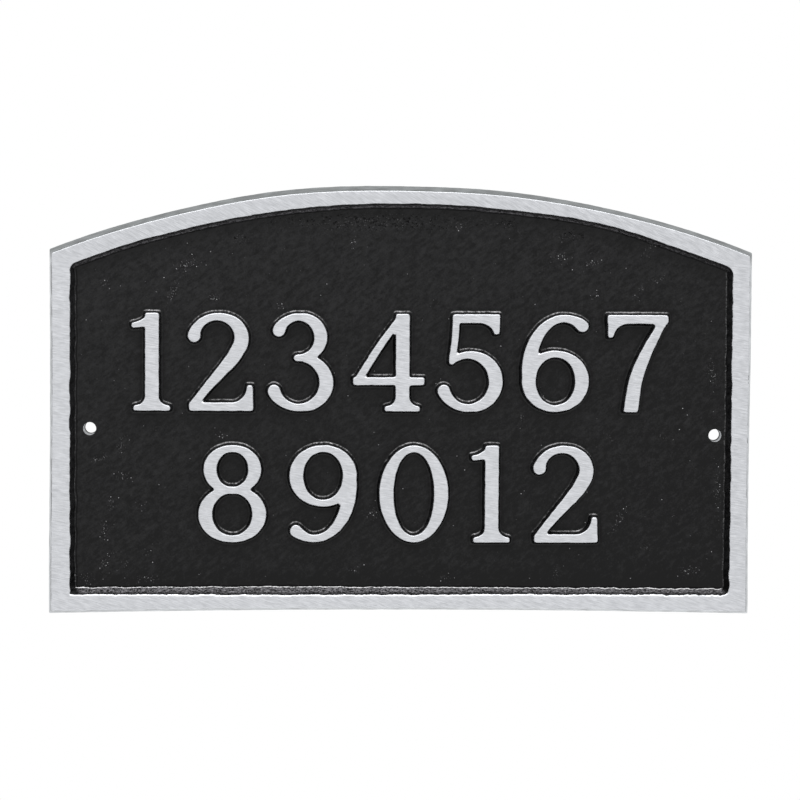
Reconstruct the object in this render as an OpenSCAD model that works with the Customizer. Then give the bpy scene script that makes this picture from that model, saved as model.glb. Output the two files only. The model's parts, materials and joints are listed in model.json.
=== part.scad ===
// One-piece cast wall plaque with an arched top: raised rim, sunken field, two screw holes.
// Millimetres. X runs across, Z up, and the face looks along -Y.
// The origin is the middle of the flat back, which lies on the plane Y = 0.

/* [Outline] */
// Width across the back
plaque_w = 228.6; // [190:0.1:275]
// Height over the crown of the arch, at the back
plaque_h = 139.7; // [110:0.1:180]
// Rise of the arch above its shoulders
arch_rise = 21.5; // [12:0.1:40]
// Thickness through the rim
plaque_t = 8; // [6.5:0.1:12]
// Lean of the outer edge, in from back to face, in degrees
edge_draft = 11.5; // [2:0.5:14]
// Hollow ground into the bottom edge, at its middle
base_bow = 1.2; // [1:0.1:3]

/* [Rim and field] */
// Width of the rim's face on the left
rim_left = 5.7; // [4:0.1:14]
// Width of the rim's face on the right
rim_right = 5.5; // [4:0.1:14]
// Width of the rim's face at the bottom corners
rim_base = 5.8; // [4:0.1:14]
// Width of the rim's face at the crown
rim_crown = 4.2; // [3:0.1:14]
// Rise of the field's own arch above its shoulders
field_rise = 20.4; // [10:0.1:36]
// Thickness left behind the field
field_t = 4.5; // [3:0.1:5.5]
// Lean of the rim's inner wall, in degrees
wall_draft = 25; // [5:1:35]
// Radius of the field's corners at the foot of the wall
corner_r = 0.6; // [0.5:0.1:6]
// Radius of the fillet round the field
foot_r = 0.6; // [0.2:0.1:0.8]
// Radius of the rim's rounded arrises
arris_r = 0.45; // [0.2:0.05:0.6]

/* [Screw holes] */
// Diameter of each hole
hole_d = 4.6; // [3:0.1:7]
// Land between the left hole and the foot of the wall
left_land = 2.2; // [0.6:0.1:30]
// Land between the right hole and the foot of the wall
right_land = 1.1; // [0.6:0.1:30]
// Left hole's centre above the bottom corners of the back
left_height = 60.5; // [30:0.1:90]
// Right hole's centre above the bottom corners of the back
right_height = 58.9; // [30:0.1:90]

/* [Hidden] */
// Straight runs in each rounded arris or fillet
arc_steps = 4;
// Facets of a full turn
arch_fn = 256;
hole_fn = 64;
// How far a cut runs past the surface that it opens
spill = 2;
// How far a corner's round crosses the walls that it joins
overlap = 0.01;

// Radius of the arch that rises this far over half its span
function arch_radius(half, rise) = (half * half + rise * rise) / (2 * rise);

half_w = plaque_w / 2;
edge_run = plaque_t * tan(edge_draft);
arch_r = arch_radius(half_w, arch_rise);
arch_y = plaque_h - arch_r;
bow_r = arch_radius(half_w, base_bow);
bow_y = base_bow - bow_r;

// The window is the field's outline in the plane of the rim's face
window_half = half_w - edge_run - (rim_left + rim_right) / 2;
window_x = (rim_left - rim_right) / 2;
window_base = edge_run + rim_base;
window_r = arch_radius(window_half, field_rise);
window_y = plaque_h - edge_run - rim_crown - window_r;

// The foot is where the wall meets the field
wall_run = (plaque_t - field_t) * tan(wall_draft);
foot_half = window_half - wall_run;

// Points of an arc about a centre, from one angle to another
function arc(centre, r, from, to) = [
    for (i = [0:arc_steps])
        let (angle = from + (to - from) * i / arc_steps)
            centre + r * [cos(angle), sin(angle)]
];

// Place at a height on a wall that stands at reach in the plane of the face and leans by an angle
function wall_at(reach, height, lean) = reach - (plaque_t - height) * tan(lean);

// Outline of the plaque's outer edge, from the back up and over its arris
function edge_line(reach) =
    let (height = plaque_t - arris_r)
    let (centre = wall_at(reach - edge_run, height, -edge_draft) - arris_r / cos(edge_draft))
        concat([[reach, 0]], arc([centre, height], arris_r, edge_draft, 90));

// Outline of the arris over a wall that leans back, and out past the face
function arris_line(reach, lean) =
    let (height = plaque_t - arris_r)
    let (centre = wall_at(reach, height, lean) + arris_r / cos(lean))
        concat(arc([centre, height], arris_r, 180 - lean, 90), [[centre, plaque_t + spill]]);

// Outline of the wall round the field, from its filleted foot up and over its arris
function wall_line(reach) =
    let (height = field_t + foot_r)
    let (centre = wall_at(reach, height, wall_draft) - foot_r / cos(wall_draft))
        concat(arc([centre, height], foot_r, -90, -wall_draft), arris_line(reach, wall_draft));

// Outline of the bottom edge, seen from the hollow that is cut away below it
function bow_line(reach) =
    concat([[reach - spill * tan(edge_draft), -spill]], arris_line(reach + edge_run, edge_draft));

// An outline closed back to the line at inner
module section(line, inner = 0) {
    top = line[len(line) - 1].y;
    polygon(concat([[inner, line[0].y]], line, [[inner, top]]));
}

// An outline swept straight, with its outward side along X
module straight(line, inner, length) {
    rotate([90, 0, 0])
        linear_extrude(length, center = true)
            section(line, inner);
}

// An outline swept round the thickness axis
module turned(line) {
    rotate_extrude($fn = arch_fn)
        section(line);
}

// What lies between two facing walls with the same outline
module between_sides(line) {
    intersection() {
        straight(line, -plaque_w, 3 * plaque_h);
        mirror([1, 0, 0])
            straight(line, -plaque_w, 3 * plaque_h);
    }
}

// The plaque before its field is sunk: arched top, straight sides, slightly hollow bottom edge
module blank() {
    difference() {
        intersection() {
            between_sides(edge_line(half_w));
            translate([0, arch_y, 0])
                turned(edge_line(arch_r));
        }
        translate([0, bow_y, 0])
            turned(bow_line(bow_r));
    }
}

// Metal that a rounded upper corner leaves between side wall and arch
module shoulder_metal() {
    from_arch = window_r - wall_run - corner_r + overlap;
    x = foot_half - corner_r + overlap;
    rise = sqrt(from_arch * from_arch - x * x);
    centre = [x, window_y + rise];
    far = corner_r + wall_run + spill;
    difference() {
        linear_extrude(plaque_t + spill)
            polygon([
                centre,
                centre + [far, 0],
                centre + [far, far],
                centre + 2 * far * [x, rise] / from_arch
            ]);
        translate([centre.x, centre.y, 0])
            turned(wall_line(corner_r + wall_run));
    }
}

// The same between side wall and base
module base_metal() {
    x = foot_half - corner_r + overlap;
    y = window_base + wall_run + corner_r - overlap;
    far = corner_r + wall_run + spill;
    difference() {
        translate([x, y - far, 0])
            cube([far, far, plaque_t + spill]);
        translate([x, y, 0])
            turned(wall_line(corner_r + wall_run));
    }
}

// The hollow that sinks the field, with rounded corners and leaning walls
module field_hollow() {
    difference() {
        intersection() {
            between_sides(wall_line(window_half));
            translate([0, window_y, 0])
                turned(wall_line(window_r));
            translate([0, window_base, 0])
                rotate([0, 0, -90])
                    straight(wall_line(0), -plaque_h, plaque_w);
        }
        for (side = [0, 1])
            mirror([side, 0, 0]) {
                shoulder_metal();
                base_metal();
            }
    }
}

// A screw hole beside the wall's foot, on the side where toward is 1 or -1
module screw_hole(toward, land, height) {
    translate([toward * (foot_half - land - hole_d / 2), height, -spill])
        cylinder(h = plaque_t + 2 * spill, d = hole_d, $fn = hole_fn);
}

// The whole casting, drawn lying on its back and then stood up
module plaque() {
    color([0.13, 0.13, 0.14])
        rotate([90, 0, 0])
            translate([0, -plaque_h / 2, 0])
                difference() {
                    blank();
                    translate([window_x, 0, 0]) {
                        field_hollow();
                        screw_hole(-1, left_land, left_height);
                        screw_hole(1, right_land, right_height);
                    }
                }
}

plaque();
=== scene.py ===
# Cast wall plaque with an arched top: sanded rim and numerals, black enamelled field, two screw holes.
# Metres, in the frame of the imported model. The face looks along -Y and Y = 0 is the wall.
import json
import math

import bpy
import numpy as np
from mathutils import Matrix, Vector
from mathutils.geometry import delaunay_2d_cdt


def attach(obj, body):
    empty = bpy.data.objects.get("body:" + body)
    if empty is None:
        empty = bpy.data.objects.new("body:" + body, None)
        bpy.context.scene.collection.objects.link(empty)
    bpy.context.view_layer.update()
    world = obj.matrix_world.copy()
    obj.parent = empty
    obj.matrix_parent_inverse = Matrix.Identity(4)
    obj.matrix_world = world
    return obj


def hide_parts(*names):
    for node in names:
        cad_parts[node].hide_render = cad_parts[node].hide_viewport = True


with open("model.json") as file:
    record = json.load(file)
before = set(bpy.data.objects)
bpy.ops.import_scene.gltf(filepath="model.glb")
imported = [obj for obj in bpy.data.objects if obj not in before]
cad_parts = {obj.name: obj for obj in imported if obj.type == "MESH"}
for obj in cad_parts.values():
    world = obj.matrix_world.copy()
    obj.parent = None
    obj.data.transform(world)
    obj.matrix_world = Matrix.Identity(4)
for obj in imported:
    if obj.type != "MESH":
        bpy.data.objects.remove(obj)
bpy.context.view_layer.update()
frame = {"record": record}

mm = 0.001
hair = 0.01  # a distance in millimetres too small to matter


# A shader value that Python's operators work on. Each operation adds a Math node.
class Wire:
    def __init__(self, tree, socket=None):
        self.tree, self.socket = tree, socket

    def node(self, kind, settings=None, inputs=None, output=0):
        made = self.tree.nodes.new("ShaderNode" + kind)
        for name, value in (settings or {}).items():
            setattr(made, name, value)
        for name, value in (inputs or {}).items():
            if isinstance(value, Wire):
                self.tree.links.new(value.socket, made.inputs[name])
            else:
                made.inputs[name].default_value = value
        return Wire(self.tree, made.outputs[output] if made.outputs else None)

    def maths(self, operation, *values):
        return self.node("Math", {"operation": operation}, dict(enumerate(values)))

    def __add__(self, other):
        return self.maths("ADD", self, other)

    def __sub__(self, other):
        return self.maths("SUBTRACT", self, other)

    def __rsub__(self, other):
        return self.maths("SUBTRACT", other, self)

    def __mul__(self, other):
        return self.maths("MULTIPLY", self, other)

    def within(self, low, high):  # 0 below low, 1 above high, smooth between
        settings = {"interpolation_type": "SMOOTHSTEP"}
        return self.node("MapRange", settings, {"Value": self, "From Min": low, "From Max": high})

    def between(self, dark, light):  # two values or two colours, mixed by this one
        if isinstance(light, tuple):
            dark = (*dark, 1) if isinstance(dark, tuple) else dark
            return self.node("Mix", {"data_type": "RGBA"}, {0: self, 6: dark, 7: (*light, 1)}, output=2)
        return self.node("Mix", {}, {0: self, 2: dark, 3: light})


# Sum of random waves, about -1 to 1, for the unevenness of a sand casting
def ripple(x, z, wavelength, seed, waves=14):
    draw = np.random.default_rng(seed)
    heading = draw.uniform(0, 2 * math.pi, waves)
    pace = 2 * math.pi / (wavelength * draw.uniform(0.7, 1.5, waves))
    start = draw.uniform(0, 2 * math.pi, waves)
    total = np.zeros_like(x)
    for a, k, s in zip(heading, pace, start):
        total += np.sin(k * (x * math.cos(a) + z * math.sin(a)) + s)
    return total / math.sqrt(2 * waves)


# Sizes in millimetres. A row has its characters, its middle, its baseline and its width.
numeral = {
    "height": 31.4,
    "thick": 4.35,
    "slab": 1.6,
    "bracket": 3.0,
    "serifHalf": 5.1,
    "serifTip": 0.4,
    "spur": 1.7,
    "spurReach": 4.2,
    "widen": 1.16,  # stretch of the drawn shapes along X
    "rows": [
        {"text": "1234567", "middle": -0.5, "base": -3.2, "width": 175.2},
        {"text": "89012", "middle": -0.85, "base": -45.7, "width": 130.6},
    ],
    "gridStep": 0.15,
    "gridMargin": 3,
    "soften": 0.35,
    "spacing": 0.36,
    "waver": 0.05,
    "waverLength": 3.4,
    "arrisRound": 0.28,
    "wallLean": 10,
    "footRound": 0.75,
    "topFlat": 0.18,
    "footFlat": 0.22,
    "bowlPoints": 150,
}


def easedWidth(stops, angle):  # stroke widths between stops of (angle, width), with soft changes
    at, width = np.array(stops, float).T
    if at[0] > at[-1]:
        at, width = at[::-1], width[::-1]
    reach = len(angle) // 9
    eased = np.pad(np.interp(angle, at, width), reach, mode="edge")
    return np.convolve(eased, np.hanning(2 * reach + 1) / reach, mode="valid")


def oval(cx, cy, ax, ay, turn, width):  # a stroke along an oval, as a row of discs (x, y, radius)
    return "discs", np.stack([cx + ax * np.cos(turn), cy + ay * np.sin(turn), width / 2], 1)


def bowl(cx, cy, ax, ay, *stops):  # part of an oval, with stroke widths at angles in degrees
    angle = np.linspace(stops[0][0], stops[-1][0], numeral["bowlPoints"])
    return oval(cx, cy, ax, ay, np.radians(angle), easedWidth(stops, angle))


def ring(cx, cy, ax, ay, heavy=4.4, light=2.1):  # a closed oval, heavy at its sides
    turn = np.radians(np.arange(0, 360, 2.4))
    return oval(cx, cy, ax, ay, turn, light + (heavy - light) * np.cos(turn) ** 2)


def brush(*points):  # a smooth stroke through (x, y, width) points
    p = np.array(points, float) * [1, 1, 0.5]
    p = np.vstack([2 * p[0] - p[1], p, 2 * p[-1] - p[-2]])
    t = np.linspace(0, 1, 36)[:, None]
    runs = []
    for a, b, c, d in zip(p, p[1:], p[2:], p[3:]):
        bend, turn = 2 * a - 5 * b + 4 * c - d, 3 * b - a - 3 * c + d
        runs.append(b + 0.5 * ((c - a) * t + bend * t**2 + turn * t**3))
    return "discs", np.concatenate(runs)


def plate(*points):
    return "plate", np.array(points, float)


def bar(x0, x1, y0, y1):
    return plate((x0, y0), (x1, y0), (x1, y1), (x0, y1))


stemHalf = numeral["thick"] / 2 / numeral["widen"]


def stem(cx):
    return bar(cx - stemHalf, cx + stemHalf, 0.4, numeral["height"])


def foot(cx, half=numeral["serifHalf"]):  # the bracketed serif under a stem
    slab, high, tip = numeral["slab"], numeral["bracket"], numeral["serifTip"]
    turn = np.radians(np.linspace(90, 0, 8))
    x = half - tip - (half - tip - stemHalf) * np.cos(turn)
    y = slab + high - high * np.sin(turn)
    side = [(half, 0), (half, slab - 0.25), *zip(x, y)]
    return plate(*[(cx + a, b) for a, b in side], *[(cx - a, b) for a, b in reversed(side)])


# A bar whose spur hangs (-1) or rises (1) at its tip
def arm(tip, inner, y, thickness, length, toward):
    side = 1 if tip > inner else -1
    root = tip - side * numeral["spur"]
    turn = np.radians(np.linspace(0, 90, 8))
    x = root - side * numeral["spurReach"] * (1 - np.cos(turn))
    curve = y + toward * (length - (length - thickness) * np.sin(turn))
    outer = [(inner, y), (tip, y), (tip - side * 0.25, y + toward * length)]
    return plate(*outer, *zip(x, curve), (inner, y + toward * thickness))


topLine = numeral["height"]
six = [
    bowl(
        12.3, 13.4, 9.85, 16.8,
        (59, 4.0), (70, 3.0), (86, 2.2), (112, 2.5), (148, 3.9), (174, 4.4), (186, 4.4),
    ),
    ring(9.9, 9.9, 7.45, 8.85),
]
# each numeral as its width and its strokes, on a baseline at 0
glyphs = {
    "0": (19.8, [ring(9.9, 15.7, 7.65, 14.65, heavy=4.5)]),
    "1": (11.6, [
        stem(6.35),
        foot(6.35),
        plate((6.4, topLine), (4.3, 29.8), (2.5, 28.6), (0.6, 28.1), (0.8, 26.6), (4.5, 27.1)),
    ]),
    "2": (19.6, [
        bowl(
            9.1, 23.4, 6.6, 6.9,
            (174, 4.2), (150, 2.9), (112, 2.2), (80, 2.3), (40, 3.7), (5, 4.5), (-24, 4.5),
        ),
        brush((15.1, 20.6, 4.5), (13.2, 16.9, 4.2), (9.9, 12.4, 3.4), (6.0, 7.2, 2.7), (2.7, 2.4, 2.5)),
        arm(19.0, 1.2, 0, 2.6, 8.2, 1),
    ]),
    "3": (18.8, [
        bowl(
            8.2, 23.7, 6.0, 6.65,
            (160, 4.2), (134, 2.8), (96, 2.1), (40, 3.6), (0, 4.3), (-40, 3.4), (-96, 1.8),
        ),
        bowl(
            8.3, 9.1, 7.5, 8.05,
            (96, 1.8), (38, 3.7), (0, 4.6), (-40, 3.8), (-96, 2.1), (-134, 2.9), (-160, 4.2),
        ),
    ]),
    "4": (20.8, [
        stem(14.35),
        foot(14.35, 4.9),
        bar(0.6, 20.4, 8.5, 10.9),
        brush((13.8, 30.6, 1.8), (7.6, 20.4, 2.3), (1.8, 9.7, 2.3)),
    ]),
    "5": (18.6, [
        arm(16.8, 3.6, topLine, 2.7, 6.4, -1),
        brush((4.6, 30.0, 2.2), (4.2, 23.0, 2.1), (3.4, 16.2, 2.0)),
        bowl(
            8.2, 9.7, 7.5, 8.6,
            (130, 1.9), (88, 2.2), (42, 3.8), (2, 4.6), (-42, 3.8), (-94, 2.2), (-134, 2.9), (-159, 4.2),
        ),
    ]),
    "6": (19.8, six),
    "7": (18.6, [
        arm(0.7, 17.7, topLine, 2.7, 7.2, -1),
        plate((13.0, topLine), (17.7, topLine), (17.6, 29.6), (16.6, 27.4), (14.3, 27.4)),
        brush(
            (15.9, 28.6, 2.2), (14.2, 25.0, 2.8), (11.3, 18.4, 3.5), (8.7, 10.2, 4.2), (7.4, 0.0, 4.6),
        ),
    ]),
    "8": (19.6, [ring(9.8, 23.5, 6.2, 6.8, heavy=4.1), ring(9.8, 8.95, 7.5, 7.95)]),
    "9": (19.8, [("discs", p * [-1, -1, 1] + [19.8, topLine, 0]) for _, p in six]),
}


# Which points lie inside a closed line
def insideLine(line, x, z):
    inside = np.zeros(x.shape, bool)
    for (ax, az), (bx, bz) in zip(line, np.roll(line, -1, 0)):
        if az != bz:
            inside ^= ((az > z) != (bz > z)) & (x < ax + (z - az) * (bx - ax) / (bz - az))
    return inside


# Distance from points to the strokes' edge, below 0 inside
def strokeDistance(parts, x, y):
    drawn = np.full(x.shape, 1e3)
    for kind, p in parts:
        if kind == "discs":
            for cx, cy, r in p:
                drawn = np.minimum(drawn, np.hypot(x - cx, y - cy) - r)
            continue
        square = np.full(x.shape, 1e6)
        for (ax, ay), (bx, by) in zip(p, np.roll(p, -1, 0)):
            ex, ey = bx - ax, by - ay
            t = np.clip(((x - ax) * ex + (y - ay) * ey) / (ex * ex + ey * ey), 0, 1)
            square = np.minimum(square, (x - ax - t * ex) ** 2 + (y - ay - t * ey) ** 2)
        drawn = np.minimum(drawn, np.where(insideLine(p, x, y), -1, 1) * np.sqrt(square))
    # no stroke passes the baseline or the top
    return np.maximum(drawn, np.maximum(-y, y - numeral["height"]))


def softened(grid, reach):  # blurs a distance grid, which rounds its corners
    n = int(3 * reach)
    weight = np.exp(-0.5 * (np.arange(-n, n + 1) / reach) ** 2)
    weight /= weight.sum()
    for axis in (0, 1):
        grid = sum(w * np.roll(grid, i - n, axis) for i, w in enumerate(weight))
    return grid


# Closed lines where a grid of values crosses a level, with points a spacing apart
def levelLines(grid, x0, y0, step, level, spacing):
    rows, columns = grid.shape
    over = grid > level
    across = over[:, :-1] != over[:, 1:]
    upward = over[:-1] != over[1:]
    shift = rows * columns  # the upward edges are numbered after those across
    place = {}
    for crossing, di, dj, first in ((across, 0, 1, 0), (upward, 1, 0, shift)):
        i, j = np.nonzero(crossing)
        t = (level - grid[i, j]) / (grid[i + di, j + dj] - grid[i, j])
        x, y = x0 + (j + t * dj) * step, y0 + (i + t * di) * step
        place.update(zip((first + i * columns + j).tolist(), zip(x.tolist(), y.tolist())))
    links = {}
    cells = np.nonzero(across[:-1] | across[1:] | upward[:, :-1] | upward[:, 1:])
    for i, j in zip(*(c.tolist() for c in cells)):
        here = i * columns + j
        edges = [here, shift + here, here + columns, shift + here + 1]  # bottom, left, top, right
        crossed = [e for e in edges if e in place]
        for a, b in zip(crossed[::2], crossed[1::2]):
            links.setdefault(a, []).append(b)
            links.setdefault(b, []).append(a)
    lines = []
    while links:
        first = next(iter(links))
        line, here = [], first
        while here in links:
            line.append(place[here])
            ways = links.pop(here)
            here = next((w for w in ways if w in links), None)
        line = np.array(line)
        length = np.concatenate([[0], np.cumsum(np.hypot(*(np.roll(line, -1, 0) - line).T))])
        if length[-1] < 4 * spacing:
            continue
        count = round(length[-1] / spacing)
        at = np.arange(0, length[-1], length[-1] / count)[:count]
        closed = np.vstack([line, line[:1]])
        lines.append(np.stack([np.interp(at, length, closed[:, k]) for k in (0, 1)], 1))
    return lines


# Sizes in millimetres, as in the CAD source. Left and right are as seen from the front.
casting = {
    "halfWidth": 114.3,
    "height": 139.7,
    "archRise": 21.5,
    "thickness": 8.0,
    "edgeLean": 11.5,
    "baseHollow": 1.2,
    # hollows of the sides: middle z, half height and depth
    "leftHollow": (8, 58, 0.38),
    "rightHollow": (-28, 37, 0.22),
    # how far the left and right edges stand out from the even lean at the face
    "leftStand": 0.45,
    "rightStand": -0.23,
    # uneven stretches: middle x, half width and rise
    "archWander": [(-42, 22, 0.4), (5, 20, -0.38), (100, 25, 0.22), (-102, 18, 0.1)],
    "windowWander": [
        (64, 18, 0.88), (92, 12, -0.2), (49, 9, 0.12), (0, 15, -0.14), (-64, 14, -0.1), (-90, 12, 0.1),
    ],
    "lipWander": [(33, 15, 0.26), (64, 15, 0.14)],
    "footWander": [(105, 30, -0.42), (55, 28, -0.2), (-100, 14, -0.18), (-32, 20, 0.12)],
    "outerCorner": 0.5,
    "rim": {"left": 5.5, "right": 5.55, "base": 5.75, "crown": 4.2},
    "rimFall": 0.14,
    "fieldRise": 20.4,
    "fieldThick": 4.5,
    "wallLean": 25,
    # cut lengths at the face, from the bottom left round to the top left
    "windowCorners": (1.1, 3.2, 2.0, 2.0),
    "leastCorner": 0.35,
    "footRound": 0.6,
    "outerArrisRound": 0.3,
    "arrisRound": 0.45,
    "lowArrisRound": 0.9,
    "lowArrisShift": 0.5,
    "edgeWaver": 0.11,
    "mostWaver": 1.3,
    "roughFrom": 62,  # X beyond which the lower arris is most ragged
    "wallLumps": 0.09,
    "outerWaver": 0.02,
    "outerInset": 0.03,
    # (inset, height) rows round the back's edge, and heights of the rows up the outer edge
    "backEdge": [(0.9, 0), (0.25, 0), (0.09, 0.06), (0.05, 0.22)],
    "edgeRows": (1.2, 2.6, 4.0, 5.4, 6.6),
    # flat rows beside the arrises
    "outerMargin": 0.25,
    "faceMargin": 0.6,
    "swell": 0.03,
    "peel": 0.007,
    # loose points, and how far they keep from the lines around them
    "fieldSpacing": 1.1,
    "fieldGap": 0.5,
    "holeGap": 0.9,
    "faceGap": 0.4,
    "footGap": 0.45,
    "backSpacing": 3.0,
    "backGap": 2.2,
    "backHoleGap": 2,
    "backDish": 0.04,
    "mostDish": 0.1,
    # how many points the bottom, right, top and left sides have
    "sidePoints": (300, 150, 320, 150),
}
top, floor = casting["thickness"], casting["fieldThick"]
edgeRun = top * math.tan(math.radians(casting["edgeLean"]))


def arcRadius(half, rise):
    return (half * half + rise * rise) / (2 * rise)


# A closed outline of (x, z) from four sides, anticlockwise from the bottom left, with cut corners
def outline(left, right, bottomAt, topAt, cuts):
    starts = [(x, at(x)) for x, at in ((left, bottomAt), (right, bottomAt), (right, topAt), (left, topAt))]
    ends = starts[1:] + starts[:1]
    courses = bottomAt, None, topAt, None
    sides = []
    for k, ((ax, az), (bx, bz), course) in enumerate(zip(starts, ends, courses)):
        length = math.hypot(bx - ax, bz - az)
        t = np.linspace(cuts[k] / length, 1 - cuts[(k + 1) % 4] / length, casting["sidePoints"][k])
        x = ax + (bx - ax) * t
        sides.append(np.stack([x, course(x) if course else az + (bz - az) * t], 1))
    points = []
    for side, corner, following in zip(sides, ends, sides[1:] + sides[:1]):
        t = np.linspace(0, 1, 8)[1:-1, None]
        a, b, c = side[-1], np.array(corner), following[0]
        points += [side, (1 - t) ** 2 * a + 2 * t * (1 - t) * b + t * t * c]
    return np.concatenate(points)


# Rise of the uneven stretches at places along X
def wander(x, stretches):
    return sum(rise * np.exp(-(((x - middle) / reach) ** 2)) for middle, reach, rise in stretches)


def outerLine(inset):  # the plaque's own outline, this far in from its back
    half, mid = casting["halfWidth"], casting["height"] / 2
    arch = arcRadius(half, casting["archRise"])
    bow = arcRadius(half, casting["baseHollow"])
    archZ, bowZ = casting["height"] - arch - mid, casting["baseHollow"] - bow - mid
    line = outline(
        inset - half,
        half - inset,
        lambda x: bowZ + np.sqrt((bow + inset) ** 2 - x * x),
        lambda x: archZ + np.sqrt((arch - inset) ** 2 - x * x) + wander(x, casting["archWander"]),
        [casting["outerCorner"]] * 4,
    )
    x, z = line.T
    onSide = np.clip(abs(x) - half + inset + 0.6, 0, 0.6) / 0.6
    atFace = min(inset / edgeRun, 1)
    for side, name in ((-1, "left"), (1, "right")):
        middle, reach, depth = casting[name + "Hollow"]
        out = casting[name + "Stand"] * atFace - depth * np.clip(1 - ((z - middle) / reach) ** 2, 0, 1)
        line[:, 0] += side * (side * x > 0) * onSide * out
    return line


def windowLine(inset):  # the field's outline, this far in from its edge in the plane of the face
    rim, mid = casting["rim"], casting["height"] / 2
    half = casting["halfWidth"] - edgeRun - (rim["left"] + rim["right"]) / 2
    middle = (rim["left"] - rim["right"]) / 2
    arch = arcRadius(half, casting["fieldRise"])
    archZ = casting["height"] - edgeRun - rim["crown"] - arch - mid
    base = edgeRun + rim["base"] - mid + inset
    cuts = [max(casting["leastCorner"], c - 0.9 * inset) for c in casting["windowCorners"]]
    depth = np.clip(inset / 1.6, 0, 1)

    def bottomAt(x):
        foot, lip = wander(x, casting["footWander"]), wander(x, casting["lipWander"])
        return base + depth * foot + (1 - depth) * lip

    def topAt(x):
        return archZ + np.sqrt((arch - inset) ** 2 - (x - middle) ** 2) + wander(x, casting["windowWander"])

    return outline(middle - half + inset, middle + half - inset, bottomAt, topAt, cuts)


# (inset, height) pairs from a leaning wall up over its rounded arris
def arrisSteps(radius, lean, steps):
    a = math.radians(lean)
    centre = radius * math.tan(a) - radius / math.cos(a)
    angles = np.linspace(a, math.pi / 2, steps)
    return [(centre + radius * math.cos(t), top - radius + radius * math.sin(t)) for t in angles]


# The same from the field up over the fillet at a wall's foot
def footSteps(radius, lean, steps):
    a = math.radians(lean)
    centre = (top - floor - radius) * math.tan(a) + radius / math.cos(a)
    angles = np.linspace(math.pi / 2, a, steps)
    return [(centre - radius * math.cos(t), floor + radius - radius * math.sin(t)) for t in angles]


def inwardOf(line):  # unit normals to the left of an anticlockwise line
    run = np.roll(line, -1, 0) - np.roll(line, 1, 0)
    return np.stack([-run[:, 1], run[:, 0]], 1) / np.hypot(*run.T)[:, None]


def fieldSwell(x, z):
    fine = ripple(x * 0.8 + z * 0.3, z, 3.2, 12, 20)
    return casting["swell"] * ripple(x, z, 9, 11) + casting["peel"] * fine


# Loose points over the box of a line, in rows that are offset and slightly uneven
def hexGrid(line, spacing, uneven=0.12):
    (x0, z0), (x1, z1) = line.min(0), line.max(0)
    x, z = np.meshgrid(np.arange(x0, x1, spacing), np.arange(z0, z1, spacing * math.sqrt(0.75)))
    x[1::2] += spacing / 2
    draw = np.random.default_rng(5)
    x = x + draw.uniform(-uneven, uneven, x.shape) * spacing
    z = z + draw.uniform(-uneven, uneven, z.shape) * spacing
    return x.ravel(), z.ravel()


# Triangles over loops and loose points, each point with its own number, and the triangles' middles
def triangulate(loops, numbers, looseXZ, looseNumbers):
    points, edges, names = [], [], []
    for loop, number in zip(loops, numbers):
        start = len(points)
        points += loop.tolist()
        names += list(number)
        edges += [(start + k, start + (k + 1) % len(loop)) for k in range(len(loop))]
    points += looseXZ.tolist()
    names += list(looseNumbers)
    made = delaunay_2d_cdt([Vector(p) for p in points], edges, [], 0, 1e-6)
    coordinates, faces, origins = made[0], made[2], made[3]
    name = [names[o[0]] if o else -1 for o in origins]
    centres = np.array([np.mean([coordinates[v][:] for v in f], 0) for f in faces])
    return np.array([[name[v] for v in f] for f in faces]), centres


frontSlot, edgeSlot, backSlot = range(3)  # order of the materials


class Shape:  # vertices and faces of the casting, as they are gathered
    def __init__(self):
        self.points, self.count, self.faces, self.slots = [], 0, [], []
        # how much dust and painted highlight a wall's foot has, with painted shade below 0, and how much
        # painted sheen greys a wall
        self.marks = {"footDust": [], "ledge": []}

    def add(self, xz, height, footDust=0.0, ledge=0.0):
        height = np.broadcast_to(height, len(xz))
        self.points.append(np.stack([xz[:, 0], -height, xz[:, 1]], 1))
        for name, value in (("footDust", footDust), ("ledge", ledge)):
            self.marks[name].append(np.broadcast_to(value, len(xz)))
        self.count += len(xz)
        return np.arange(self.count - len(xz), self.count)

    def band(self, a, b, slot):  # quads between two closed rows of one length, the second inwards
        self.fill(np.stack([a, np.roll(a, -1), np.roll(b, -1), b], 1), slot)

    def fill(self, faces, slot):
        self.faces += faces.tolist()
        self.slots += [slot] * len(faces)


# (inset, height) pairs over a numeral's edge, from its face down to the field
def numeralLevels():
    over = arrisSteps(numeral["arrisRound"], numeral["wallLean"], 3)
    under = footSteps(numeral["footRound"], numeral["wallLean"], 4)
    inner = (over[-1][0] - numeral["topFlat"], top)
    outer = (under[0][0] + numeral["footFlat"], floor)
    return [inner, *reversed(over), *reversed(under), outer]
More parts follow.
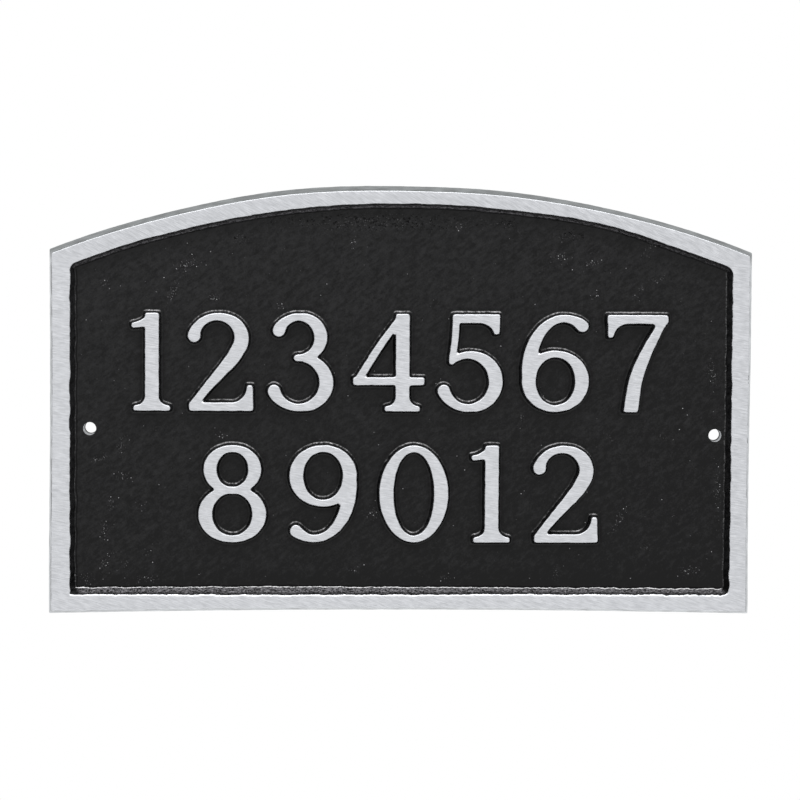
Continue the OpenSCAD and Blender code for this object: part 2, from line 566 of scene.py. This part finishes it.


# Each numeral to cast: its distance grid, the grid's corner, and its rings of (line, height, dust and
# painted highlight, with painted shade below 0)
def numeralLines():
    step, widen, margin = numeral["gridStep"], numeral["widen"], numeral["gridMargin"]
    made, grids = [], {}
    for row in numeral["rows"]:
        total = sum(glyphs[c][0] * widen for c in row["text"])
        gap = (row["width"] - total) / (len(row["text"]) - 1)
        x = row["middle"] - row["width"] / 2
        for c in row["text"]:
            width = glyphs[c][0] * widen
            if c not in grids:
                wide = {"discs": [widen, 1, 1], "plate": [widen, 1]}
                parts = [(kind, p * wide[kind]) for kind, p in glyphs[c][1]]
                across = np.arange(-margin, width + margin, step)
                gx, gy = np.meshgrid(across, np.arange(-margin, numeral["height"] + margin, step))
                grids[c] = softened(strokeDistance(parts, gx, gy), numeral["soften"] / step), gx, gy
            grid, gx, gy = grids[c]
            grid = grid + numeral["waver"] * ripple(gx + x, gy + row["base"], numeral["waverLength"], 21)
            upward = np.gradient(grid, step, axis=0)
            left, low = x - margin, row["base"] - margin
            rings = []
            for level, height in numeralLevels():
                # the foot fillets get dust and a painted highlight, most where they face up, and the field
                # round a numeral gets painted shade (-0.35)
                inFoot = max(0, 1 - abs(height - floor - 0.18) / 0.5) * (height > floor)
                for line in levelLines(grid, left, low, step, level, numeral["spacing"]):
                    i, j = ((line[:, ::-1] - [low, left]) / step).round().astype(int).T
                    dust = inFoot * (0.05 + 0.42 * np.clip(1.4 * upward[i, j] - 0.4, 0, 1))
                    rings.append((line, height, dust if height > floor else -0.35))
            made.append({"grid": grid, "x": left, "z": low, "rings": rings})
            x += width + gap
    return made


# (inset, height) pairs from the rim's face down its inner wall to the field
def windowSteps(radius, shift=0.0):
    over = [(inset - shift, h) for inset, h in arrisSteps(radius, casting["wallLean"], 5)]
    under = footSteps(casting["footRound"], casting["wallLean"], 5)
    (s0, h0), (s1, h1) = over[0], under[-1]
    wall = [(s0 + (s1 - s0) * t, h0 + (h1 - h0) * t) for t in (0.25, 0.5, 0.75)]
    past = [(under[0][0] + 0.2, floor), (under[0][0] + 0.5, floor)]
    return [(over[-1][0] - casting["faceMargin"], top), *reversed(over), *wall, *reversed(under), *past]


# Marks on the field, in millimetres: middle x and z, half length and half width, and tilt in degrees
fieldWear = {
    "scuff": [
        (-69.8, 43.8, 4.5, 2.0, 30), (-74, 35.2, 5, 1.3, 67), (-79.5, 35, 0.9, 0.8, 0),
        (-96, 38, 1.5, 1.2, 0), (-61, 32.8, 1.4, 1.1, 0), (-39.4, 48.6, 2, 0.8, 20),
        (-39.7, 30.2, 1.6, 0.8, 10), (-16, 51, 1.8, 0.9, 80), (18, 56.4, 2, 1, 0),
        (51.5, 47, 3, 1.6, 0), (61, 44.5, 3.6, 1.2, 28), (79.5, 49, 3, 1.2, 40), (83, 39.5, 2.6, 1, 30),
        (77, 36, 3, 1, 45), (62.6, 34.2, 2.4, 0.9, 40), (91.4, 32.5, 1, 1, 0), (101, 9.5, 4, 1.4, 90),
        (-89.5, -12.4, 1.2, 0.9, 0), (-90.5, -15, 1.2, 3, 0), (-97.4, -19, 3, 1, 20),
        (-90, -25, 2.4, 1.6, 0), (-94, -33.3, 1.6, 2.2, 0), (-83.7, -34.3, 1.6, 1.2, 0),
        (-96, -42, 1, 3, 0), (-94, -50, 2, 0.8, 10), (-82.4, -49.7, 1.6, 0.7, 15),
        (-96.3, -53, 1.6, 1.6, 0), (-89.2, -53, 0.8, 3, 0), (-83, -58, 4, 1, 0),
        (-101.5, -58, 2.5, 1.6, 0), (-15.5, -55, 2, 1, 0), (-9.3, -36, 2, 2, 40),
        (-58.5, -11, 1.6, 0.8, 0), (38.7, -5.5, 0.9, 1.6, 0), (67.2, -11.5, 2, 0.8, -20),
        (84.8, -11.1, 2, 0.8, -15), (71, -38.5, 5, 1.2, 60), (79.5, -47.8, 1.6, 1, 0),
        (50.6, -56, 1, 3, 0), (94, -55.5, 3, 1.6, 0), (103.2, -29, 1, 9, 0), (14.4, -58, 1.6, 1, 0),
    ],
    "pit": [
        (-8, 57.8, 33, 2.8, 0), (33.8, 57.6, 4, 2, 0), (38.4, 53.8, 1.6, 0.7, -45), (55, 53.8, 5, 2, 0),
        (-52.6, 52.5, 3, 2, 0), (-61, 33.4, 1.6, 1.3, 0),
    ],
}


def wearAt(x, z, places):
    worn = np.zeros_like(x)
    for middleX, middleZ, long, wide, tilt in places:
        c, s = math.cos(math.radians(tilt)), math.sin(math.radians(tilt))
        along, across = (x - middleX) * c + (z - middleZ) * s, (z - middleZ) * c - (x - middleX) * s
        worn = np.maximum(worn, np.exp(-((along / long) ** 2) - (across / wide) ** 2))
    return worn


# The outer edge, from the back up over the arris to the face. Returns its rows and its even last line.
def makeOuterEdge(shape):
    lean = math.tan(math.radians(casting["edgeLean"]))
    over = arrisSteps(casting["outerArrisRound"], casting["edgeLean"], 5)
    steps = [*casting["backEdge"], *((h * lean, h) for h in casting["edgeRows"])]
    steps += [(edgeRun - inset, h) for inset, h in over]
    steps.append((steps[-1][0] + casting["outerMargin"], top))
    rows = []
    for inset, h in steps:
        line = outerLine(inset)
        waver = casting["outerWaver"] * (ripple(*line.T, 6, 31) + ripple(*line.T, 2.6, 32))
        line += inwardOf(line) * (waver + casting["outerInset"])[:, None]
        rows.append(shape.add(line, h))
    for k, (a, b) in enumerate(zip(rows, rows[1:])):
        shape.band(a, b, edgeSlot if k < len(steps) - 4 else frontSlot)
    return rows, outerLine(steps[-1][0])


# Marks on the rows of the window's wall, by row: 1 to 5 are the arris, 6 to 8 the wall,
# 9 to 13 the fillet at its foot, and 14 and 15 lie past it on the field
wallMarks = {
    # painted sheen: grey painted on the base's upward wall for the light from above, and on the arch's wall
    # for the floor's reflection; the grey named below is this sheen
    "baseGrey": {6: 0.45, 7: 1, 8: 1, 9: 0.85, 10: 0.25},
    "archGrey": {6: 0.1, 7: 0.5, 8: 1.15, 9: 0.15},
    "archFade": (40, 60),  # from this X, over this length, the arch's grey halves
    "mitre": -104.8,  # left end of the base's grey
    # the row where the dust and painted highlight are most, and how far they reach
    "dustRow": 11,
    "dustReach": 1.25,
    "rightDust": {12: 0.14, 13: 0.18, 14: 0.1},
    # painted shadow along the wall's foot, by row, and how it changes along the arch
    "groove": {13: 0.5, 14: 0.8},
    "archGroove": {10: 0.5, 11: 0.9, 12: 0.5, 13: -0.4, 14: -0.7},
    # a blob of dust and painted highlight in the left corner: middle x, half width and strength
    "blob": (-103, 0.5, 1.3),
    "blobRows": (11, 12),
}


# How much dust and painted highlight a row of the window's wall has, less the painted shadow at its foot,
# and how much painted sheen greys it, at places along X
def wallTones(k, x, inBase, inArch, onRight):
    dust = max(0, 1 - abs(k - wallMarks["dustRow"]) / wallMarks["dustReach"])
    dust = dust * (0.2 + 0.8 * inBase) * (1 - inArch)
    blobX, blobReach, blob = wallMarks["blob"]
    dust = dust + blob * (k in wallMarks["blobRows"]) * np.exp(-(((x - blobX) / blobReach) ** 2)) * inBase
    groove = wallMarks["groove"].get(k, 0) + wallMarks["archGroove"].get(k, 0) * inArch
    dust = dust - groove * (1 - 0.9 * onRight) + wallMarks["rightDust"].get(k, 0) * onRight
    fadeFrom, fadeLength = wallMarks["archFade"]
    sheen = inBase * np.clip(x - wallMarks["mitre"], 0, 1) * wallMarks["baseGrey"].get(k, 0)
    fade = 1 - 0.5 * np.clip((x - fadeFrom) / fadeLength, 0, 1)
    return dust, sheen + inArch * fade * wallMarks["archGrey"].get(k, 0)


# The window, from the face down to the field. Returns its lines, their points' numbers and the last inset.
def makeWindow(shape):
    steps = windowSteps(casting["arrisRound"])
    lowSteps = windowSteps(casting["lowArrisRound"], casting["lowArrisShift"])
    lines, rows = [], []
    for k, ((inset, h), (lowInset, lowH)) in enumerate(zip(steps, lowSteps)):
        line = windowLine(inset)
        sideways, facing = inwardOf(line).T
        low = np.clip(facing * 2 - 0.6, 0, 1)
        line += (windowLine(lowInset) - line) * low[:, None]
        x, z = line.T  # these follow the line as it changes
        h = h + (lowH - h) * low
        # the first row wavers with the arris beside it, so that they don't cross
        place = (line + inwardOf(line) * casting["faceMargin"] * (k == 0)).T
        fresh = ripple(*place, 7, 41) + 0.6 * ripple(*place, 2.8, 42) + 0.9 * low * ripple(*place, 1.3, 43)
        fresh = np.clip(fresh, -casting["mostWaver"], casting["mostWaver"])
        rough = 0.7 + 0.6 * low + 0.5 * low * (x > casting["roughFrom"])
        rough = rough + 0.8 * np.clip(abs(sideways) * 3 - 2, 0, 1)
        line += inwardOf(line) * (casting["edgeWaver"] * rough * fresh)[:, None]
        depth = (top - h) / (top - floor)
        inArch, inBase = np.clip(-facing * 3 - 1, 0, 1), np.clip(facing * 4 - 3, 0, 1)
        dust, sheen = wallTones(k, x, inBase, inArch, np.clip(-3 * sideways - 1, 0, 1))
        lumps = casting["wallLumps"] * (6 <= k <= 10) * (0.4 + 0.6 * low) * ripple(x, z + 2 * k, 1.4, 44)
        h = h - (1 - depth) * casting["rimFall"]
        lines.append(line)
        rows.append(shape.add(line, h + depth * fieldSwell(x, z) + lumps, dust, sheen))
    return lines, rows, steps[-1][0]


# The rim's face, which falls towards the window, and then the window's own bands
def joinRim(shape, outerRow, outer, windowRows, inner):
    last = outerRow
    for t in (0.25, 0.5, 0.75):
        row = shape.add(outer * (1 - t) + inner * t, top - casting["rimFall"] * t * t)
        shape.band(last, row, frontSlot)
        last = row
    for row in windowRows:
        shape.band(last, row, frontSlot)
        last = row


# Sizes of a screw hole in millimetres; rows are (distance out from its wall, height)
screwHole = {
    "radius": 2.08,
    "points": 56,
    # how far the hole's back end stands off from its front end, left hole and right hole
    "slant": [(0.3, 0.3), (0.02, 0.16)],
    # heights from the field's own
    "mouth": [(0.45, 0), (0.06, 0), (0.02, -0.03), (0, -0.1), (0, -0.4)],
    # heights from the back, down to the lip that narrows the hole and out onto the back
    "bore": [(0, 3.0), (0, 1.7), (0, 0.9), (-0.2, 0.7), (-0.2, 0.2), (-0.1, 0), (0.5, 0)],
    # materials of the bands between all these rows
    "slots": [frontSlot] * 2 + [edgeSlot] * 5 + [frontSlot] * 3 + [backSlot],
}


# One hole. Returns the line, the points' numbers and the middle of its front end and its back end.
def makeHole(shape, centre, slant):
    turn = np.linspace(0, 2 * math.pi, screwHole["points"], endpoint=False)
    unit = np.stack([np.cos(turn), np.sin(turn)], 1)
    lines, rows = [], []
    for out, drop in screwHole["mouth"]:
        lines.append(centre + unit * (screwHole["radius"] + out))
        rows.append(shape.add(lines[-1], floor + drop + fieldSwell(*lines[-1].T)))
    for out, h in screwHole["bore"]:
        lines.append(centre + slant * (1 - h / floor) + unit * (screwHole["radius"] + out))
        rows.append(shape.add(lines[-1], h))
    for a, b, slot in zip(rows, rows[1:], screwHole["slots"]):
        shape.band(a, b, slot)
    return (lines[0], rows[0], centre), (lines[-1], rows[-1], centre + slant)


# Which points lie further than a distance from the walls of all holes
def clearOf(ends, x, z, distance):
    clear = np.ones(x.shape, bool)
    for *_, centre in ends:
        clear &= np.hypot(x - centre[0], z - centre[1]) > screwHole["radius"] + distance
    return clear


# The field with its numerals and holes. Returns the holes' back ends.
def makeField(shape, edge, edgeRow, edgeInset):
    step = numeral["gridStep"]
    loops, numbers = [edge], [edgeRow]
    cast = numeralLines()
    for glyph in cast:
        for line, h, dust in glyph["rings"]:
            depth = (top - h) / (top - floor)
            loops.append(line)
            numbers.append(shape.add(line, h + depth * fieldSwell(*line.T), dust))
    bores = [mount for mount in frame["record"]["mounts"] if mount["kind"] == "bore"]
    bores.sort(key=lambda mount: mount["pos_m"][0])
    fronts, backs = [], []
    for mount, slant in zip(bores, screwHole["slant"]):
        centre = np.array([mount["pos_m"][0], mount["pos_m"][2]]) / mm
        front, back = makeHole(shape, centre, np.array(slant))
        fronts.append(front)
        backs.append(back)
        loops.append(front[0])
        numbers.append(front[1])

    x, z = hexGrid(edge, casting["fieldSpacing"])
    keep = insideLine(windowLine(edgeInset + casting["fieldGap"]), x, z)
    keep &= clearOf(fronts, x, z, casting["holeGap"])
    high = np.zeros(x.shape, bool)
    levels = numeralLevels()
    faceLevel, footLevel = levels[0][0] - casting["faceGap"], levels[-1][0] + casting["footGap"]
    for glyph in cast:
        grid = glyph["grid"]
        rows, columns = grid.shape
        i = np.clip(np.round((z - glyph["z"]) / step).astype(int), 0, rows - 1)
        j = np.clip(np.round((x - glyph["x"]) / step).astype(int), 0, columns - 1)
        near = (x > glyph["x"]) & (x < glyph["x"] + columns * step)
        near &= (z > glyph["z"]) & (z < glyph["z"] + rows * step)
        keep &= ~near | (grid[i, j] < faceLevel) | (grid[i, j] > footLevel)
        high |= near & (grid[i, j] < levels[0][0])
    x, z, high = x[keep], z[keep], high[keep]
    loose = np.stack([x, z], 1)
    looseNumbers = shape.add(loose, np.where(high, top, floor + fieldSwell(x, z)))
    triangles, centres = triangulate(loops, numbers, loose, looseNumbers)
    good = insideLine(edge, *centres.T) & clearOf(fronts, *centres.T, screwHole["mouth"][0][0] - hair)
    shape.fill(triangles[good], frontSlot)
    return backs


def makeBack(shape, edgeRow, holes):  # the flat back, slightly dished
    edge = outerLine(casting["backEdge"][0][0])
    x, z = hexGrid(edge, casting["backSpacing"])
    keep = insideLine(outerLine(casting["backGap"]), x, z) & clearOf(holes, x, z, casting["backHoleGap"])
    loose = np.stack([x[keep], z[keep]], 1)
    dish = casting["backDish"] * (1 + ripple(*loose.T, 26, 51))
    looseNumbers = shape.add(loose, np.clip(dish, 0, casting["mostDish"]))
    loops = [edge, *(line for line, *_ in holes)]
    numbers = [edgeRow, *(row for _, row, _ in holes)]
    triangles, centres = triangulate(loops, numbers, loose, looseNumbers)
    good = insideLine(edge, *centres.T) & clearOf(holes, *centres.T, screwHole["bore"][-1][0] - hair)
    shape.fill(triangles[good][:, ::-1], backSlot)


def makeCasting():
    shape = Shape()
    outerRows, outer = makeOuterEdge(shape)
    lines, rows, lastInset = makeWindow(shape)
    joinRim(shape, outerRows[-1], outer, rows, lines[0])
    holes = makeField(shape, lines[-1], rows[-1], lastInset)
    makeBack(shape, outerRows[0], holes)

    points = np.concatenate(shape.points)
    mesh = bpy.data.meshes.new("castPlaque")
    mesh.from_pydata((points * mm).tolist(), [], shape.faces)
    mesh.polygons.foreach_set("material_index", shape.slots)
    mesh.polygons.foreach_set("use_smooth", [True] * len(shape.faces))
    marks = {name: np.concatenate(values) for name, values in shape.marks.items()}
    for name, places in fieldWear.items():
        marks[name] = wearAt(points[:, 0], points[:, 2], places)
    for name, values in marks.items():
        mesh.attributes.new(name, "FLOAT", "POINT").data.foreach_set("value", values)
    mesh.update()
    mended = mesh.validate(verbose=False)
    plaque = bpy.data.objects.new("castPlaque", mesh)
    bpy.context.collection.objects.link(plaque)
    print("casting:", len(points), "points,", len(shape.faces), "faces, mended", mended)
    return plaque


def newMaterial(name):
    material = bpy.data.materials.new(name)
    material.use_nodes = True
    material.node_tree.nodes.clear()
    return material, Wire(material.node_tree)


# The place on the object, and its X, height off the back and Z in millimetres
def placeOn(w):
    place = w.node("TexCoord", output="Object")
    x, y, z = (w.node("SeparateXYZ", inputs={0: place}, output=i) * 1000 for i in range(3))
    return place, x, y * -1, z


# Marks of a sanding belt, about 0.5 on average, that run down to the right at an angle
def beltMarks(w, x, z, degrees, width, length):
    c, s = math.cos(math.radians(degrees)), math.sin(math.radians(degrees))
    along = (x * c - z * s) * (1 / length)
    across = (x * s + z * c) * (1 / width)
    crossing = w.node("CombineXYZ", inputs={0: along, 1: across})
    noise = {"Vector": crossing, "Scale": 1.0, "Detail": 3.0, "Roughness": 0.6, "Distortion": 0.4}
    return w.node("TexNoise", inputs=noise)


def grain(w, place, size, detail):  # noise with features of a size in millimetres
    return w.node("TexNoise", inputs={"Vector": place, "Scale": 1000 / size, "Detail": detail})


def bump(w, height, strength, distance):
    return w.node("Bump", inputs={"Strength": strength, "Distance": distance, "Height": height})


# Unpainted metal with the roughness and relief of its looks
def bareMetal(w, looks, colour, rough, relief):
    return w.node("BsdfPrincipled", inputs={
        "Base Color": colour,
        "Roughness": rough.between(*looks["roughness"]),
        "Metallic": 1.0,
        "Normal": bump(w, relief, *looks["relief"]),
    })


sanding = {
    "bright": (0.635, 0.645, 0.67),
    "dull": (0.475, 0.485, 0.505),
    # the belt's angle, and where it changes towards the arch and towards the base
    "sidesAngle": 9,
    "archAngle": 28,
    "baseAngle": 17,
    "archFrom": (41, 50),
    "baseFrom": (58, 62),
    "width": 0.3,
    "length": 4.0,
    "contrast": 3.0,
    "mottle": 0.8,
    "balance": 1.4,
    # the arch and the right side are a little darker, and the lip in the right corner is brighter: a
    # painted highlight
    "archShade": 0.11,
    "rightFrom": (105, 110),
    "rightShade": 0.07,
    "lipFrom": (98, 103),
    "lipTo": (106, 109),
    "lipHeight": (7.5, 7.84),
    "lipShine": 0.4,
    "roughness": (0.44, 0.56),
    "relief": (0.35, 0.00003),
}


def sandedMetal(w, place, x, height, z):
    angles = (sanding[name] for name in ("sidesAngle", "archAngle", "baseAngle"))
    sides, arch, base = (beltMarks(w, x, z, a, sanding["width"], sanding["length"]) for a in angles)
    inArch = z.within(*sanding["archFrom"])
    marks = (z * -1).within(*sanding["baseFrom"]).between(inArch.between(sides, arch), base)
    mottle = grain(w, place, 2.6, 4.0)
    tone = marks * sanding["contrast"] + mottle * sanding["mottle"] - sanding["balance"]
    tone = tone - inArch * sanding["archShade"] - x.within(*sanding["rightFrom"]) * sanding["rightShade"]
    # a painted highlight on the lip in the right corner
    lip = (1 - height.within(*sanding["lipHeight"])) * x.within(*sanding["lipFrom"])
    tone = tone + lip * (1 - x.within(*sanding["lipTo"])) * sanding["lipShine"]
    colour = tone.between(sanding["dull"], sanding["bright"])
    return bareMetal(w, sanding, colour, marks.within(0.3, 0.7), marks)


enamel = {
    "black": (0.0006, 0.0006, 0.0008),
    "worn": (0.0135, 0.0135, 0.0142),
    # white of the dust and painted highlight in the foot lines, and grey of the painted sheen on the
    # window's walls
    "dust": (0.95, 0.94, 0.96),
    "ledge": (0.21, 0.204, 0.218),
    "speck": (0.42, 0.42, 0.43),
    "hollow": (0.002, 0.002, 0.002, 1),
    "roughness": (0.27, 0.4),
    "specular": 0.2,
    "relief": (0.6, 0.00006),
    # angle, width and length of the paint's bands, of its wrinkles and of the ledge's streaks
    "slowMarks": (-38, 5.0, 24.0),
    "leatherMarks": (-35, 1.2, 3.2),
    "streakMarks": (0, 0.45, 2.0),
    # size and detail of its grain
    "fineGrain": (0.5, 2.0),
    "peelGrain": (1.3, 3.0),
    "cloudGrain": (4.2, 2.0),
    # what goes into the black's unevenness, and how it changes per millimetre along Z and X; the unevenness
    # is the paint's own mottling and also painted light and shade on its lumps
    "slow": 0.6,
    "leather": 2.1,
    "peel": 1.4,
    "cloud": 0.7,
    "fine": 1.5,
    "alongZ": 0.003,
    "alongX": 0.0011,
    "balance": 2.8,
    # the low field is blacker, and the walls are painted greyer: a painted sheen
    "lowFrom": (52, 60),
    "lowShade": 0.35,
    "wallFrom": (4.9, 5.6),
    "wallShine": 0.25,
    "speckCell": 0.5,
    "speckEdge": (-0.4, -0.16),
    "speckShare": (0.994, 1.0),
    "crumbs": 0.55,
    "pitBend": 2.4,
    "pitScale": 1.15,
    "pitEdge": (0.26, 0.42),
    "pitShade": 0.75,
    "footShade": 0.7,
    "bareFrom": (7.48, 7.6),  # heights over which the paint is sanded off
}


# The black paint with its wear. Returns it with how bare the metal is.
def enamelPaint(w, place, x, height, z):
    slow, leather = (beltMarks(w, x, z, *enamel[name]) for name in ("slowMarks", "leatherMarks"))
    fine, peel, cloud = (grain(w, place, *enamel[name + "Grain"]) for name in ("fine", "peel", "cloud"))
    black = slow * enamel["slow"] + leather * enamel["leather"] + peel * enamel["peel"]
    black = black + cloud * enamel["cloud"] + fine * enamel["fine"]
    black = black + z * enamel["alongZ"] - x * enamel["alongX"] - enamel["balance"]
    black = black - (z * -1).within(*enamel["lowFrom"]) * enamel["lowShade"]
    black = black + height.within(*enamel["wallFrom"]) * enamel["wallShine"]
    # the black's unevenness, between black and worn: the paint's mottling together with painted light on
    # its lumps and walls
    black = black.between(enamel["black"], enamel["worn"])
    scuff, pit, ledge, foot = (
        w.node("Attribute", {"attribute_name": name}, output="Fac")
        for name in ("scuff", "pit", "ledge", "footDust")
    )

    # bright specks in a few cells, most of them in the scuffs, and crumbs between them
    cells = {"Vector": place, "Scale": 1000 / enamel["speckCell"]}
    near = w.node("TexVoronoi", inputs=cells, output="Distance")
    picked = w.node("TexVoronoi", inputs=cells, output="Color")
    pick, bright = (w.node("SeparateColor", inputs={0: picked}, output=i) for i in range(2))
    speck = (near * -1).within(*enamel["speckEdge"]) * (pick + scuff * 0.24).within(*enamel["speckShare"])
    speck = speck * (bright * bright * 0.95 + 0.14)
    crumbs = (fine + scuff * 0.1 + pit * 0.07).within(0.66, 0.8) * (scuff + pit * 0.7)
    colour = (speck + crumbs * enamel["crumbs"]).between(black, enamel["speck"])

    # dark pits with ragged edges
    bent = w.node("CombineXYZ", inputs={0: x + fine * enamel["pitBend"], 1: z + peel * enamel["pitBend"]})
    hollow = w.node("TexVoronoi", inputs={"Vector": bent, "Scale": enamel["pitScale"]}, output="Distance")
    pits = (fine * 0.6 + peel * 0.3 - hollow + pit * 0.26).within(*enamel["pitEdge"]) * pit.within(0.1, 0.4)

    # painted sheen, grey, on the walls under the base's arris, and dust and painted highlight in the foot
    # lines
    streaks = beltMarks(w, x, height, *enamel["streakMarks"])
    colour = (ledge * (streaks * 3.2 + fine * 3.4 - 2.9)).between(colour, enamel["ledge"])
    dust = (foot * (fine * 2.8 + peel * 1.8 - 1.1)).within(0.1, 1.3)
    relief = peel * 0.7 + leather * 0.5 + fine * 0.3 + ledge * fine * 1.5 - pits
    paint = w.node("BsdfPrincipled", inputs={
        "Base Color": dust.between(colour, enamel["dust"]),
        "Roughness": (fine + ledge * 0.6).within(0.2, 1.0).between(*enamel["roughness"]),
        "Specular IOR Level": enamel["specular"],
        "Normal": bump(w, relief, *enamel["relief"]),
    })
    # painted shade: a near-black diffuse mixed in at the pits and where the foot lines are below 0
    shade = w.node("BsdfDiffuse", inputs={"Color": enamel["hollow"]})
    shaded = pits * enamel["pitShade"] + (foot * -1).within(0.0, 1.0) * enamel["footShade"]
    bare = (height + (fine - 0.5) * (ledge * 1.6 + 0.5)).within(*enamel["bareFrom"])
    return w.node("MixShader", inputs={0: shaded, 1: paint, 2: shade}), bare


def frontFinish():
    material, w = newMaterial("enamelAndSandedFaces")
    where = placeOn(w)
    metal = sandedMetal(w, *where)
    paint, bare = enamelPaint(w, *where)
    w.node("OutputMaterial", inputs={0: w.node("MixShader", inputs={0: bare, 1: paint, 2: metal})})
    return material


groundEdge = {
    # the edge along the arch is darker than the sides' edges: painted shade
    "arch": (0.195, 0.207, 0.21),
    "sides": (0.48, 0.495, 0.51),
    "paintLeft": (0.015, 0.015, 0.016),
    "archFrom": (44, 49),
    "drag": 3.2,
    "blotch": 1.8,
    "balance": 2.0,
    "shade": (0.6, 1.34),
    "roughness": (0.45, 0.65),
    "relief": (0.4, 0.00008),
}


def edgeFinish():
    material, w = newMaterial("groundEdge")
    place, x, height, z = placeOn(w)
    run = w.node("CombineXYZ", inputs={0: x * 0.2, 1: height * 2.2, 2: z * 0.2})
    drag = w.node("TexNoise", inputs={"Vector": run, "Scale": 1.0, "Detail": 4.0, "Roughness": 0.65})
    blotch = grain(w, place, 4.5, 3.0)
    # painted shade: the edge along the arch is given the darker colour
    colour = z.within(*groundEdge["archFrom"]).between(groundEdge["sides"], groundEdge["arch"])
    shade = drag * groundEdge["drag"] + blotch * groundEdge["blotch"] - groundEdge["balance"]
    shade = shade.between(*groundEdge["shade"])
    colour = w.node("VectorMath", {"operation": "SCALE"}, {0: colour, "Scale": shade})
    # paint that is left beside the face, more of it towards the left end
    onSides = x.maths("ABSOLUTE", x).within(108, 111)
    remains = (blotch + (height - 7.2) * 0.12 + (x * -1).within(90, 112) * 0.11).within(0.66, 0.7)
    colour = (remains * onSides * height.within(6.4, 7.1)).between(colour, groundEdge["paintLeft"])
    metal = bareMetal(w, groundEdge, colour, drag.within(0.25, 0.75), drag + blotch)
    w.node("OutputMaterial", inputs={0: metal})
    return material


castBack = {
    "dark": (0.2, 0.204, 0.21),
    "light": (0.47, 0.475, 0.48),
    "sand": 1.5,
    "patch": 1.1,
    "cloud": 0.9,
    "balance": 1.25,
    "roughness": (0.5, 0.72),
    "relief": (0.7, 0.00015),
}


def backFinish():
    material, w = newMaterial("castBack")
    place = w.node("TexCoord", output="Object")
    sand, patch, cloud = grain(w, place, 0.45, 3.0), grain(w, place, 2.4, 3.0), grain(w, place, 16, 3.0)
    tone = sand * castBack["sand"] + patch * castBack["patch"] + cloud * castBack["cloud"]
    colour = (tone - castBack["balance"]).between(castBack["dark"], castBack["light"])
    metal = bareMetal(w, castBack, colour, sand.within(0.3, 0.7), sand + patch)
    w.node("OutputMaterial", inputs={0: metal})
    return material


# Angles in degrees. The focal length is in pixels of a picture of this width.
view = {
    "lookAt": (-0.79, -8, 0.466),
    "pitch": 3.342,
    "yaw": 2.6,
    "roll": 0.364,
    "distance": 1.0,
    "focalPixels": 3096.6,
    "picturePixels": 800,
    "sensor": 36,
    "clip": (0.05, 30),
}


def makeCamera():
    lookAt = Vector([v * mm for v in view["lookAt"]])
    pitch, yaw, roll = (math.radians(view[name]) for name in ("pitch", "yaw", "roll"))
    level = math.cos(pitch)
    forward = Vector((math.sin(yaw) * level, math.cos(yaw) * level, -math.sin(pitch)))
    right = Vector((math.cos(yaw), -math.sin(yaw), 0))
    up = right.cross(forward)
    c, s = math.cos(roll), math.sin(roll)
    right, up = right * c + up * s, up * c - right * s
    lens = bpy.data.cameras.new("camera")
    lens.sensor_width = view["sensor"]
    lens.lens = view["focalPixels"] / view["picturePixels"] * view["sensor"]
    lens.clip_start, lens.clip_end = view["clip"]
    camera = bpy.data.objects.new("camera", lens)
    facing = Matrix((right, up, -forward)).transposed().to_4x4()
    camera.matrix_world = Matrix.Translation(lookAt - forward * view["distance"]) @ facing
    bpy.context.collection.objects.link(camera)
    bpy.context.scene.camera = camera


studio = {
    "floorLevel": -0.45,
    "floorRadius": 1.4,
    "floorColour": (0.8, 0.8, 0.8, 1),
    "floorGlow": 0.55,
    "light": (1, 1, 1, 1),
    "ambient": 0.55,
    # the lamp overhead
    "lampAt": (0, -0.5, 0.87),
    "lampSize": (1.3, 0.34),
    "lampWatts": 11,
}


def seenDirectly(w):  # 1 for camera, glossy and transmission rays
    seen = w.node("LightPath", output="Is Camera Ray")
    for name in ("Is Glossy Ray", "Is Transmission Ray"):
        seen = seen.maths("MAXIMUM", seen, w.node("LightPath", output=name))
    return seen


def makeStudio():
    scene = bpy.context.scene
    scene.view_settings.view_transform = "Standard"
    world = bpy.data.worlds.new("studio")
    scene.world = world
    world.use_nodes = True
    world.node_tree.nodes.clear()
    w = Wire(world.node_tree)
    strength = seenDirectly(w).between(studio["ambient"], 1.0)
    sky = w.node("Background", inputs={"Color": studio["light"], "Strength": strength})
    w.node("OutputWorld", inputs={0: sky})

    material, w = newMaterial("paleFloor")
    paint = w.node("BsdfDiffuse", inputs={"Color": studio["floorColour"]})
    strength = seenDirectly(w) * studio["floorGlow"]
    glow = w.node("Emission", inputs={"Color": studio["light"], "Strength": strength})
    w.node("OutputMaterial", inputs={0: w.node("AddShader", inputs={0: paint, 1: glow})})
    turn = np.radians(np.arange(0, 360, 5))
    rim = np.stack([np.cos(turn), np.sin(turn)], 1) * studio["floorRadius"]
    mesh = bpy.data.meshes.new("floor")
    mesh.from_pydata([(a, b, studio["floorLevel"]) for a, b in rim.tolist()], [], [range(len(turn))])
    floor = bpy.data.objects.new("floor", mesh)
    floor.data.materials.append(material)
    bpy.context.collection.objects.link(floor)

    light = bpy.data.lights.new("overhead", "AREA")
    light.shape = "RECTANGLE"
    light.size, light.size_y = studio["lampSize"]
    light.energy = studio["lampWatts"]
    lamp = bpy.data.objects.new("overhead", light)
    lamp.location = studio["lampAt"]
    lamp.rotation_euler = (-lamp.location).to_track_quat("-Z", "Y").to_euler()  # towards the origin
    bpy.context.collection.objects.link(lamp)


makeCamera()
makeStudio()
print("studio and camera made")

plaque = makeCasting()
for material in (frontFinish(), edgeFinish(), backFinish()):
    plaque.data.materials.append(material)
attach(plaque, "root")
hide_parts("plaque")
print("casting finished")
